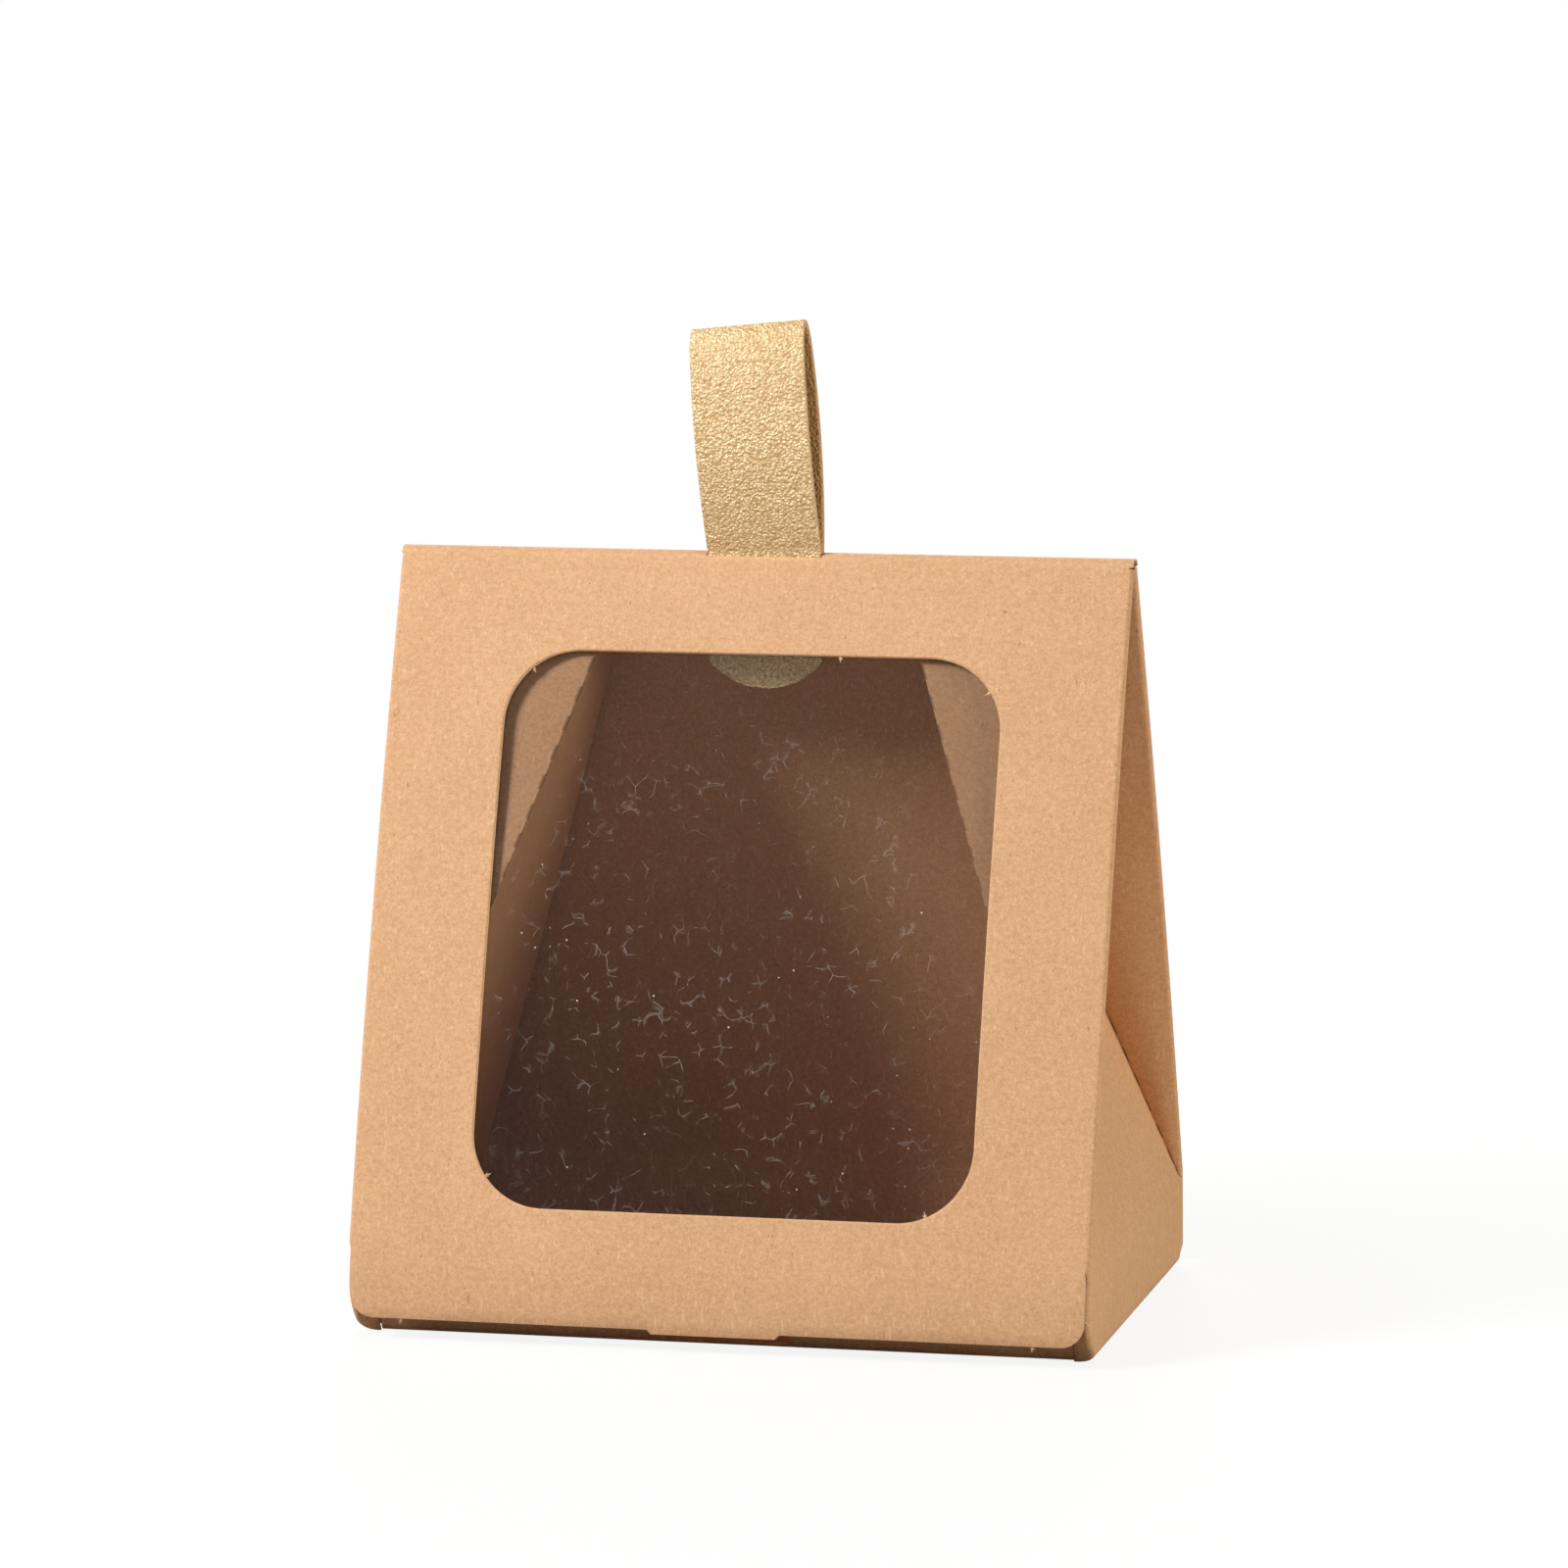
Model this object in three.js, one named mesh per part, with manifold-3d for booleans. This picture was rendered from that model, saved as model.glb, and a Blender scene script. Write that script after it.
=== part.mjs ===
// A small kraft gable box: a tent-shaped carton with a film window in its front,
// gusseted ends, a flap in its base and a strap handle through a slot in its ridge.
//
// Millimetres, +Z up. The origin is on the floor below the ridge's middle, the
// ridge runs along X and the window faces -Y.

import * as THREE from 'three';
import { mergeVertices } from 'three/addons/utils/BufferGeometryUtils.js';
import Module from 'manifold-3d';

const wasm = await Module();
wasm.setup();

// Carton, folded from one sheet of board
const WIDTH = 100;
const DEPTH = 64.5;
const HEIGHT = 101.6;
const BOARD = 0.45;
const BAND_HEIGHT = 13;
const PANEL_BOW_RADIUS = 900;
const RIDGE_RADIUS = 1.8;
const LAYER_GAP = 0.5;

// Free lower edge of the front panel
const FREE_EDGE_HEIGHT = 3.1;
const FREE_EDGE_BEND = 45;
const FREE_EDGE_INSET = 0.5;
const FREE_CORNER_RADIUS = 3.2;
const TAB_WIDTH = 16.7;
const TAB_DROP = 0.6;

// Window, given by the board left around it on the sloping panel
const WINDOW_SIDE_MARGIN = 16.2;
const WINDOW_TOP_MARGIN = 12.7;
const WINDOW_FOOT_MARGIN = 5.2;
const WINDOW_CORNER_RADIUS = 10;

// Upright end bands, and the dust flaps folded in below them
const BAND_FOLD_RADIUS = 1.8;
const BAND_FRONT_INSET = 0.55;
const DUST_FLAP_LENGTH = 18;
const DUST_FLAP_TAPER = 5;
const BACK_FOLD_RADIUS = 2.5;

// Base flap, hinged at the back, and its tuck lip at the front
const HINGE_GAP = 0.3;
const FLAP_SIDE_INSET = 3.1;
const FRONT_FOLD_INSET = 4.1;
const FRONT_FOLD_RADIUS = 1;
const LIP_LENGTH = 9;
const LIP_LEAN = 10;
const LIP_CORNER_RADIUS = 5;
const NOTCH_WIDTH = 19.8;
const NOTCH_TOP_WIDTH = 13;
const NOTCH_TOP = 4.5;

// Film glued behind the window
const FILM = 0.2;
const FILM_OVERLAP = 4;

// Strap handle, one strip doubled through the ridge
const STRAP_WIDTH = 15.5;
const STRAP_THICKNESS = 1.1;
const STRAP_LEG_GAP = 0.2;
const LOOP_HEIGHT = 31.7;
const LOOP_SPREAD = 7.4;
const LOOP_LEAN = 1.7;
const TAIL_LENGTH = 18.3;
const TAIL_END_RADIUS = 10;

// Running clearances, and the reach of a cutter past what it cuts
const CLEARANCE = 0.3;
const SLOT_END_CLEARANCE = 0.4;
const PAST = 5;

const ARC_STEPS = 6;
const PANEL_STEPS = 10;
const STRAP_STEPS = 44;

const halfWidth = WIDTH / 2;
const halfDepth = DEPTH / 2;

// Closed mesh to solid, and back
function solid(geometry) {
  geometry.deleteAttribute('normal');
  geometry.deleteAttribute('uv');
  const merged = mergeVertices(geometry, 1e-5);
  return new wasm.Manifold(new wasm.Mesh({
    numProp: 3,
    vertProperties: new Float32Array(merged.attributes.position.array),
    triVerts: new Uint32Array(merged.index.array),
  }));
}

function mesh(name, body, look) {
  const result = body.getMesh();
  const geometry = new THREE.BufferGeometry();
  geometry.setAttribute('position', new THREE.BufferAttribute(result.vertProperties, 3));
  geometry.setIndex(new THREE.BufferAttribute(result.triVerts, 1));
  geometry.computeVertexNormals();
  const node = new THREE.Mesh(geometry, new THREE.MeshStandardMaterial(look));
  node.name = name;
  return node;
}

const join = (first, ...others) => others.reduce((body, other) => body.add(other), first);

// An outline drawn in one plane and extruded square to it
const ALONG_X = new THREE.Matrix4().makeBasis(
  new THREE.Vector3(0, 1, 0),
  new THREE.Vector3(0, 0, 1),
  new THREE.Vector3(1, 0, 0),
);
const ALONG_MINUS_Y = new THREE.Matrix4().makeBasis(
  new THREE.Vector3(1, 0, 0),
  new THREE.Vector3(0, 0, 1),
  new THREE.Vector3(0, -1, 0),
);

function extrude(outline, depth, curveSegments = ARC_STEPS) {
  const shape = outline instanceof THREE.Shape ? outline : new THREE.Shape(outline);
  return new THREE.ExtrudeGeometry(shape, { depth, bevelEnabled: false, curveSegments });
}

// The outline is in (y, z)
function alongX(outline, from, to) {
  return extrude(outline, to - from).applyMatrix4(ALONG_X).translate(from, 0, 0);
}

// The outline is in (x, z)
function alongY(outline, from, to) {
  return extrude(outline, to - from).applyMatrix4(ALONG_MINUS_Y).translate(0, to, 0);
}

// The outline is in (x, y)
function alongZ(outline, from, to) {
  return extrude(outline, to - from).translate(0, 0, from);
}

function point(centre, radius, angle) {
  return new THREE.Vector2(
    centre.x + radius * Math.cos(angle),
    centre.y + radius * Math.sin(angle),
  );
}

function arc(centre, radius, from, to, steps = ARC_STEPS) {
  return Array.from({ length: steps + 1 }, (_, i) => (
    point(centre, radius, from + (to - from) * i / steps)
  ));
}

const mirrored = (points) => points.map((p) => new THREE.Vector2(-p.x, p.y));

// Outer face of the front panel in (y, z): a small round at the ridge, a wide arc
// that touches it and ends at the corner above the free edge, and a tighter arc on
// from there to the edge. Layers further in are the same arcs with smaller radii.
const ridge = new THREE.Vector2(0, HEIGHT - RIDGE_RADIUS);
const corner = new THREE.Vector2(-halfDepth, BAND_HEIGHT);

function wideArcCentre() {
  const span = ridge.clone().sub(corner);
  const chord = span.length();
  const toRidge = PANEL_BOW_RADIUS - RIDGE_RADIUS;
  const along = (PANEL_BOW_RADIUS ** 2 - toRidge ** 2 + chord ** 2) / (2 * chord);
  const across = Math.sqrt(PANEL_BOW_RADIUS ** 2 - along ** 2);
  const unit = span.divideScalar(chord);
  return new THREE.Vector2(
    corner.x + unit.x * along + unit.y * across,
    corner.y + unit.y * along - unit.x * across,
  );
}

const bowCentre = wideArcCentre();
const ridgeAngle = ridge.clone().sub(bowCentre).angle();
const cornerAngle = corner.clone().sub(bowCentre).angle();
const bendCentre = corner.clone().lerp(bowCentre, FREE_EDGE_BEND / PANEL_BOW_RADIUS);
const tabHeight = FREE_EDGE_HEIGHT - TAB_DROP;
const tabAngle = Math.PI - Math.asin((tabHeight - bendCentre.y) / FREE_EDGE_BEND);

// From the ridge's tangent point down to the corner, at a depth below the outer face
function panelCurve(depth) {
  return arc(bowCentre, PANEL_BOW_RADIUS - depth, ridgeAngle, cornerAngle, PANEL_STEPS);
}

// The whole wrap from the free edge over the ridge to the fold at the back's foot
function wrapFace(depth) {
  const front = [
    ...panelCurve(depth),
    ...arc(bendCentre, FREE_EDGE_BEND - depth, cornerAngle, tabAngle).slice(1),
  ];
  const top = arc(ridge, RIDGE_RADIUS - depth, ridgeAngle, Math.PI - ridgeAngle);
  const back = mirrored(panelCurve(depth)).slice(1, -1);
  const backFace = halfDepth - depth;
  const reach = bowCentre.x + backFace;
  const crease = bowCentre.y + Math.sqrt((PANEL_BOW_RADIUS - depth) ** 2 - reach ** 2);
  const foldCentre = new THREE.Vector2(halfDepth - BACK_FOLD_RADIUS, BACK_FOLD_RADIUS);
  return [
    ...front.reverse().slice(0, -1),
    ...top,
    ...back,
    new THREE.Vector2(backFace, crease),
    ...arc(foldCentre, BACK_FOLD_RADIUS - depth, 0, -Math.PI / 2),
  ];
}

// Window and film outlines lie in the chord plane of the front panel, in (x, s),
// where s runs up the slope from the corner
const chordTop = point(bowCentre, PANEL_BOW_RADIUS, ridgeAngle);
const slope = chordTop.clone().sub(corner);
const slopeLength = slope.length();
const uphill = slope.clone().divideScalar(slopeLength);
const WINDOW_PLANE = new THREE.Matrix4().makeBasis(
  new THREE.Vector3(1, 0, 0),
  new THREE.Vector3(0, uphill.x, uphill.y),
  new THREE.Vector3(0, -uphill.y, uphill.x),
).setPosition(0, corner.x, corner.y);

function roundedRectangle(left, bottom, right, top, radius) {
  const shape = new THREE.Shape();
  shape.absarc(right - radius, top - radius, radius, 0, Math.PI / 2);
  shape.absarc(left + radius, top - radius, radius, Math.PI / 2, Math.PI);
  shape.absarc(left + radius, bottom + radius, radius, Math.PI, 1.5 * Math.PI);
  shape.absarc(right - radius, bottom + radius, radius, 1.5 * Math.PI, 2 * Math.PI);
  return shape;
}

function onWindowPlane(grow) {
  const side = halfWidth - WINDOW_SIDE_MARGIN + grow;
  const foot = WINDOW_FOOT_MARGIN - grow;
  const top = slopeLength - WINDOW_TOP_MARGIN + grow;
  const shape = roundedRectangle(-side, foot, side, top, WINDOW_CORNER_RADIUS);
  return solid(extrude(shape, 2 * PAST, 8).translate(0, 0, -PAST).applyMatrix4(WINDOW_PLANE));
}

// The free part of the front panel keeps only this outline in (x, z)
function freeEdgeOutline() {
  const side = halfWidth - FREE_EDGE_INSET;
  const top = BAND_HEIGHT + PAST;
  const foot = FREE_EDGE_HEIGHT;
  const shape = new THREE.Shape();
  shape.moveTo(side, top);
  shape.lineTo(-side, top);
  shape.absarc(-side + FREE_CORNER_RADIUS, foot + FREE_CORNER_RADIUS,
    FREE_CORNER_RADIUS, Math.PI, 1.5 * Math.PI);
  shape.lineTo(-TAB_WIDTH / 2 - TAB_DROP, foot);
  shape.lineTo(-TAB_WIDTH / 2, foot - TAB_DROP - CLEARANCE);
  shape.lineTo(TAB_WIDTH / 2, foot - TAB_DROP - CLEARANCE);
  shape.lineTo(TAB_WIDTH / 2 + TAB_DROP, foot);
  shape.absarc(side - FREE_CORNER_RADIUS, foot + FREE_CORNER_RADIUS,
    FREE_CORNER_RADIUS, 1.5 * Math.PI, 2 * Math.PI);
  return shape;
}

function rectangle(left, bottom, right, top) {
  return [
    new THREE.Vector2(left, bottom),
    new THREE.Vector2(right, bottom),
    new THREE.Vector2(right, top),
    new THREE.Vector2(left, top),
  ];
}

// Front panel, ridge and back panel in one wrap, with its cut-outs
function wrap() {
  const outline = [...wrapFace(0), ...wrapFace(BOARD).reverse()];
  const sheet = solid(alongX(outline, -halfWidth, halfWidth));
  const wide = halfWidth + PAST;
  const frontOf = -halfDepth - PAST;
  const behindFront = -halfDepth / 2;
  const belowCorner = rectangle(-wide, -PAST, wide, BAND_HEIGHT);
  const offcut = solid(alongY(belowCorner, frontOf, behindFront))
    .subtract(solid(alongY(freeEdgeOutline(), frontOf - PAST, behindFront + PAST)));
  const slotEnd = STRAP_WIDTH / 2 + SLOT_END_CLEARANCE;
  const slotSide = legOuterFace + CLEARANCE;
  const slotOutline = rectangle(-slotSide, HEIGHT - 2 * RIDGE_RADIUS, slotSide, HEIGHT + PAST);
  const footSide = halfWidth - FLAP_SIDE_INSET;
  const footCut = rectangle(0, -PAST, halfDepth + PAST, BACK_FOLD_RADIUS + CLEARANCE);
  return sheet
    .subtract(offcut)
    .subtract(onWindowPlane(0))
    .subtract(solid(alongX(slotOutline, -slotEnd, slotEnd)))
    .subtract(solid(alongX(footCut, footSide, wide)))
    .subtract(solid(alongX(footCut, -wide, -footSide)));
}

// Each end is a gusset. Its corner triangles lie flat behind the front and back
// panels, and its middle triangle leans in from the band to a point on the ridge.
const innerLayer = BOARD + LAYER_GAP;
const innerFace = innerLayer + BOARD;
const creaseTop = halfWidth - halfDepth;

// Solid between two depths of the front panel and its mirror image at the back
function panelLayer(from, to, left, right, back) {
  const outline = [...panelCurve(from), ...panelCurve(to).reverse()];
  return solid(alongX(back ? mirrored(outline) : outline, left, right));
}

function cornerTriangle(side, back) {
  const layer = panelLayer(innerLayer, innerFace, -halfWidth, halfWidth, back);
  const cover = [
    new THREE.Vector2(side * creaseTop, HEIGHT),
    new THREE.Vector2(side * halfWidth, HEIGHT),
    new THREE.Vector2(side * halfWidth, BAND_HEIGHT),
  ];
  const edge = side * (halfWidth - BOARD);
  const fold = panelLayer(0, innerFace, Math.min(edge, side * halfWidth),
    Math.max(edge, side * halfWidth), back);
  return layer.intersect(solid(alongY(cover, -DEPTH, DEPTH))).add(fold);
}

// Middle triangle and band, as seen from the front: the sheet from the ridge's
// inside down the crease to the band, and down the band
function endSheetOutline(side) {
  const creaseRun = new THREE.Vector2(halfWidth - creaseTop, BAND_HEIGHT - HEIGHT).normalize();
  const inner = halfWidth - BOARD;
  const turn = BOARD * (1 + creaseRun.y) / creaseRun.x;
  const topZ = HEIGHT - RIDGE_RADIUS;
  const outerTop = creaseTop + (HEIGHT - topZ) * -creaseRun.x / creaseRun.y;
  const innerTop = outerTop + BOARD / creaseRun.y;
  return [
    new THREE.Vector2(outerTop, topZ),
    new THREE.Vector2(halfWidth, BAND_HEIGHT),
    new THREE.Vector2(halfWidth, BAND_FOLD_RADIUS),
    new THREE.Vector2(inner, BAND_FOLD_RADIUS),
    new THREE.Vector2(inner, BAND_HEIGHT + turn),
    new THREE.Vector2(innerTop, topZ),
  ].map((p) => new THREE.Vector2(side * p.x, p.y));
}

const bandFront = -halfDepth + FRONT_FOLD_INSET;
const bandBack = halfDepth - BACK_FOLD_RADIUS - CLEARANCE;

// What the end sheet may fill, as seen from the side: between the inner layers,
// with the band's front edge set back behind the free edge
function endSheetReach() {
  const bite = innerLayer + BOARD / 2;
  const front = panelCurve(bite);
  const back = mirrored(front).reverse();
  return [
    ...front,
    new THREE.Vector2(-halfDepth + BOARD + BAND_FRONT_INSET / 2, BAND_HEIGHT - BOARD),
    new THREE.Vector2(bandFront, BAND_FOLD_RADIUS),
    new THREE.Vector2(bandBack, BAND_FOLD_RADIUS),
    new THREE.Vector2(bandBack, BACK_FOLD_RADIUS + CLEARANCE),
    new THREE.Vector2(halfDepth - BOARD / 2, BACK_FOLD_RADIUS + CLEARANCE),
    new THREE.Vector2(halfDepth - BOARD / 2, BAND_HEIGHT),
    ...back,
  ];
}

// The band's round foot stands on the floor. The dust flap runs in from it, up
// over the edge of the base flap.
const dustFlapUnder = BOARD + CLEARANCE;

function footOutline(side) {
  const roundCentre = new THREE.Vector2(halfWidth - BAND_FOLD_RADIUS, BAND_FOLD_RADIUS);
  const flapEdge = halfWidth - FLAP_SIDE_INSET + CLEARANCE;
  const tip = halfWidth - DUST_FLAP_LENGTH;
  const inward = BAND_FOLD_RADIUS - BOARD;
  const outline = [
    new THREE.Vector2(halfWidth, BAND_FOLD_RADIUS + BOARD),
    ...arc(roundCentre, BAND_FOLD_RADIUS, 0, -Math.PI / 2),
    new THREE.Vector2(flapEdge, dustFlapUnder),
    new THREE.Vector2(tip, dustFlapUnder),
    new THREE.Vector2(tip, dustFlapUnder + BOARD),
    new THREE.Vector2(flapEdge + BOARD / 2, dustFlapUnder + BOARD),
    ...arc(roundCentre, inward, -Math.PI / 2, 0).slice(1),
    new THREE.Vector2(halfWidth - BOARD, BAND_FOLD_RADIUS + BOARD),
  ];
  return outline.map((p) => new THREE.Vector2(side * p.x, p.y));
}

function foot(side) {
  const roundEdge = side * (halfWidth - BAND_FOLD_RADIUS);
  const dustFront = bandFront + 2 * FRONT_FOLD_RADIUS;
  const past = side * (halfWidth + PAST);
  const tip = side * (halfWidth - DUST_FLAP_LENGTH - PAST);
  const plan = [
    new THREE.Vector2(past, bandFront),
    new THREE.Vector2(roundEdge, bandFront),
    new THREE.Vector2(roundEdge, dustFront),
    new THREE.Vector2(tip, dustFront + DUST_FLAP_TAPER),
    new THREE.Vector2(tip, bandBack - DUST_FLAP_TAPER),
    new THREE.Vector2(roundEdge, bandBack),
    new THREE.Vector2(past, bandBack),
  ];
  const sheet = solid(alongY(footOutline(side), -DEPTH, DEPTH));
  return sheet.intersect(solid(alongZ(plan, -PAST, BAND_HEIGHT)));
}

function end(side) {
  const sheet = solid(alongY(endSheetOutline(side), -DEPTH, DEPTH))
    .intersect(solid(alongX(endSheetReach(), -WIDTH, WIDTH)));
  return join(sheet, cornerTriangle(side, false), cornerTriangle(side, true), foot(side));
}

function cartonShell() {
  return join(wrap(), end(-1), end(1));
}

// Base flap with its lip, seen from the side
function bottomFlap() {
  const hingeEnd = halfDepth - BACK_FOLD_RADIUS - HINGE_GAP;
  const lean = THREE.MathUtils.degToRad(LIP_LEAN);
  const fold = new THREE.Vector2(bandFront + FRONT_FOLD_RADIUS, FRONT_FOLD_RADIUS);
  const lastAngle = -Math.PI + lean;
  const run = new THREE.Vector2(-Math.sin(lean), Math.cos(lean)).multiplyScalar(LIP_LENGTH);
  const outer = arc(fold, FRONT_FOLD_RADIUS, -Math.PI / 2, lastAngle);
  const inner = arc(fold, FRONT_FOLD_RADIUS - BOARD, lastAngle, -Math.PI / 2);
  const profile = [
    new THREE.Vector2(hingeEnd, 0),
    ...outer,
    outer.at(-1).clone().add(run),
    inner[0].clone().add(run),
    ...inner,
    new THREE.Vector2(hingeEnd, BOARD),
  ];
  const side = halfWidth - FLAP_SIDE_INSET;
  const lipTop = profile[ARC_STEPS + 2].y + BOARD;
  const face = roundedRectangle(-side, -LIP_CORNER_RADIUS, side, lipTop, LIP_CORNER_RADIUS);
  const notch = [
    new THREE.Vector2(-NOTCH_WIDTH / 2, BOARD),
    new THREE.Vector2(NOTCH_WIDTH / 2, BOARD),
    new THREE.Vector2(NOTCH_TOP_WIDTH / 2, NOTCH_TOP),
    new THREE.Vector2(-NOTCH_TOP_WIDTH / 2, NOTCH_TOP),
  ];
  return solid(alongX(profile, -side, side))
    .intersect(solid(alongY(face, -DEPTH, DEPTH)))
    .subtract(solid(alongY(notch, -DEPTH, bandFront + PAST)));
}

// The film fills the gap between the front panel and the corner triangles evenly
function windowFilm() {
  const air = (LAYER_GAP - FILM) / 2;
  return panelLayer(BOARD + air, BOARD + air + FILM, -halfWidth, halfWidth, false)
    .intersect(onWindowPlane(FILM_OVERLAP));
}

// Strap: its middle line as seen from the side, up one leg, over the tight fold
// at the loop's top and down the other
const legMiddle = (STRAP_THICKNESS + STRAP_LEG_GAP) / 2;
const legOuterFace = legMiddle + STRAP_THICKNESS / 2;

function strapCurve() {
  const widest = (LOOP_SPREAD - STRAP_THICKNESS) / 2;
  const top = LOOP_HEIGHT - STRAP_THICKNESS / 2;
  const swell = (share) => legMiddle + (widest - legMiddle) * share;
  const leg = [
    [legMiddle, -TAIL_LENGTH],
    [legMiddle, -TAIL_LENGTH / 2],
    [legMiddle, -RIDGE_RADIUS],
    [legMiddle, 0],
    [swell(0.28), top * 0.08],
    [swell(0.7), top * 0.24],
    [swell(0.95), top * 0.42],
    [swell(1), top * 0.58],
    [swell(0.84), top * 0.77],
    [swell(0.46), top * 0.93],
  ];
  return new THREE.SplineCurve([
    ...leg.map(([y, z]) => new THREE.Vector2(-y, HEIGHT + z)),
    new THREE.Vector2(0, HEIGHT + top),
    ...leg.reverse().map(([y, z]) => new THREE.Vector2(y, HEIGHT + z)),
  ]);
}

function strapOutline() {
  const curve = strapCurve();
  const faces = [[], []];
  for (let i = 0; i <= STRAP_STEPS; i += 1) {
    const at = curve.getPoint(i / STRAP_STEPS);
    const along = curve.getTangent(i / STRAP_STEPS);
    const across = new THREE.Vector2(along.y, -along.x).multiplyScalar(STRAP_THICKNESS / 2);
    faces[0].push(at.clone().add(across));
    faces[1].push(at.clone().sub(across));
  }
  return [...faces[0], ...faces[1].reverse()];
}

// The loop leans to the left as it rises, by a smooth step over two thirds of it
function leanAt(z) {
  return -LOOP_LEAN * THREE.MathUtils.smoothstep(z - HEIGHT, 0, LOOP_HEIGHT * 2 / 3);
}

function handleStrap() {
  const half = STRAP_WIDTH / 2;
  const band = alongX(strapOutline(), -half, half);
  const position = band.attributes.position;
  for (let i = 0; i < position.count; i += 1) {
    position.setX(i, position.getX(i) + leanAt(position.getZ(i)));
  }
  const tailEnd = HEIGHT - TAIL_LENGTH;
  const halfEnd = Math.asin(half / TAIL_END_RADIUS);
  const roundCentre = new THREE.Vector2(0, tailEnd + TAIL_END_RADIUS);
  const wide = half + LOOP_LEAN + PAST;
  const face = [
    ...arc(roundCentre, TAIL_END_RADIUS, -Math.PI / 2 - halfEnd, -Math.PI / 2 + halfEnd, 10),
    new THREE.Vector2(wide, HEIGHT),
    new THREE.Vector2(wide, HEIGHT + LOOP_HEIGHT + PAST),
    new THREE.Vector2(-wide, HEIGHT + LOOP_HEIGHT + PAST),
    new THREE.Vector2(-wide, HEIGHT),
  ];
  return solid(band).intersect(solid(alongY(face, -DEPTH, DEPTH)));
}

const kraft = { color: 0xdcb07f, roughness: 0.92, metalness: 0 };
const film = { color: 0xf4f4f0, roughness: 0.08, metalness: 0, transparent: true, opacity: 0.2 };
const leatherette = { color: 0xd8bd84, roughness: 0.42, metalness: 0.55 };

const box = new THREE.Group();
box.add(mesh('carton_shell', cartonShell(), kraft));
box.add(mesh('bottom_flap', bottomFlap(), kraft));
box.add(mesh('window_film', windowFilm(), film));
box.add(mesh('handle_strap', handleStrap(), leatherette));

export default box;
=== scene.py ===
"""A small kraft gable box with a film window and a metallic strap handle, on a pale studio floor.

The carton is one folded sheet: its outer face is worked out patch by patch on numpy grids, the
patches are merged along their shared edges, and Solidify gives it the board's thickness.
Lengths named in capitals are millimetres, and MM turns them into metres.
"""

import math

import bmesh
import bpy
import numpy as np
from mathutils import Matrix


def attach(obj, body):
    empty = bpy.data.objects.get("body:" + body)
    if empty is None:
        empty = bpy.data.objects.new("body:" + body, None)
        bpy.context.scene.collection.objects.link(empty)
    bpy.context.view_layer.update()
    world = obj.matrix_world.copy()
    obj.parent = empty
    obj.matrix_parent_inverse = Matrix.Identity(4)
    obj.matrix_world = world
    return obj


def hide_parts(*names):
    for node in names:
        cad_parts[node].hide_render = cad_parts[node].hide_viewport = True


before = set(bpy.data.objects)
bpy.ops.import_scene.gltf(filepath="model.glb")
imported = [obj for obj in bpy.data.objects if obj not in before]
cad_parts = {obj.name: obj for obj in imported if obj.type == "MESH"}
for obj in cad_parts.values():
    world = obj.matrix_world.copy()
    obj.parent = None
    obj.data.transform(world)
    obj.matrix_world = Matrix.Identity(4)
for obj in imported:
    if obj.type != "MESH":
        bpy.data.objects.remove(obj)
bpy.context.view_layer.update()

MM = 0.001

# Carton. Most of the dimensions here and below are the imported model's own. The slot's clearance
# and the loop's height and lean differ from it, to follow the soft strap more closely.
WIDTH = 100.0
DEPTH = 64.5
HEIGHT = 101.6
BOARD = 0.45
BAND_HEIGHT = 13.0
PANEL_BOW_RADIUS = 900.0
RIDGE_RADIUS = 1.8
LAYER_GAP = 0.5

# Front panel: its free edge with a centre tab, and the window
FREE_EDGE_HEIGHT = 3.1
FREE_EDGE_BEND = 45.0
FREE_EDGE_INSET = 0.5
FREE_CORNER_RADIUS = 3.2
TAB_WIDTH = 16.7
TAB_DROP = 0.6
WINDOW_SIDE_MARGIN = 16.2
WINDOW_TOP_MARGIN = 12.7
WINDOW_FOOT_MARGIN = 5.2
WINDOW_CORNER_RADIUS = 10.0

# Bands and dust flaps at the ends
BAND_TOP_DROP = 1.2                    # from the band's crease to its topmost row of points
BAND_TOE = 7.0                         # height below which the band's front edge curves back
BAND_TOE_POWER = 1.6
BAND_FOLD_RADIUS = 1.8
DUST_FLAP_LENGTH = 18.0
DUST_FLAP_SHOULDER_X = 44.0            # from here on the dust flap's sides taper faster
DUST_FLAP_TAPER = 5.0

# Base flap: the back fold with its hinge, the front fold, and the tuck lip with its notch
BACK_FOLD_RADIUS = 2.5
HINGE_GAP = 0.3
CLEARANCE = 0.3
FLAP_SIDE_INSET = 3.1
FRONT_FOLD_INSET = 4.1
FRONT_FOLD_RADIUS = 1.0
LIP_LENGTH = 9.0
LIP_LEAN = math.radians(10)
LIP_CORNER_RADIUS = 5.0
LIP_TAPER = 0.2                        # how much narrower the lip is at its top, on each side
NOTCH_WIDTH = 19.8
NOTCH_TOP_WIDTH = 13.0
NOTCH_TOP = 4.5
NOTCH_START = 0.62                     # how far before the end of the front fold the notch begins

# Film and strap
FILM = 0.2
FILM_OVERLAP = 4.0
STRAP_WIDTH = 15.5
STRAP_THICKNESS = 1.1
STRAP_LEG_GAP = 0.2
STRAP_EDGE_RADIUS = 0.22
SLOT_CLEARANCE = 0.06
LOOP_HEIGHT = 30.4
LOOP_SPREAD = 7.4
LOOP_LEAN = 2.0                        # how far the loop's top stands to the left of its foot
LOOP_LEAN_POWER = 1.15
TAIL_LENGTH = 18.3
TAIL_END_RADIUS = 10.0
TAIL_END_RUN = 4.2                     # length at each tail's end that has closer rows of points

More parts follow.
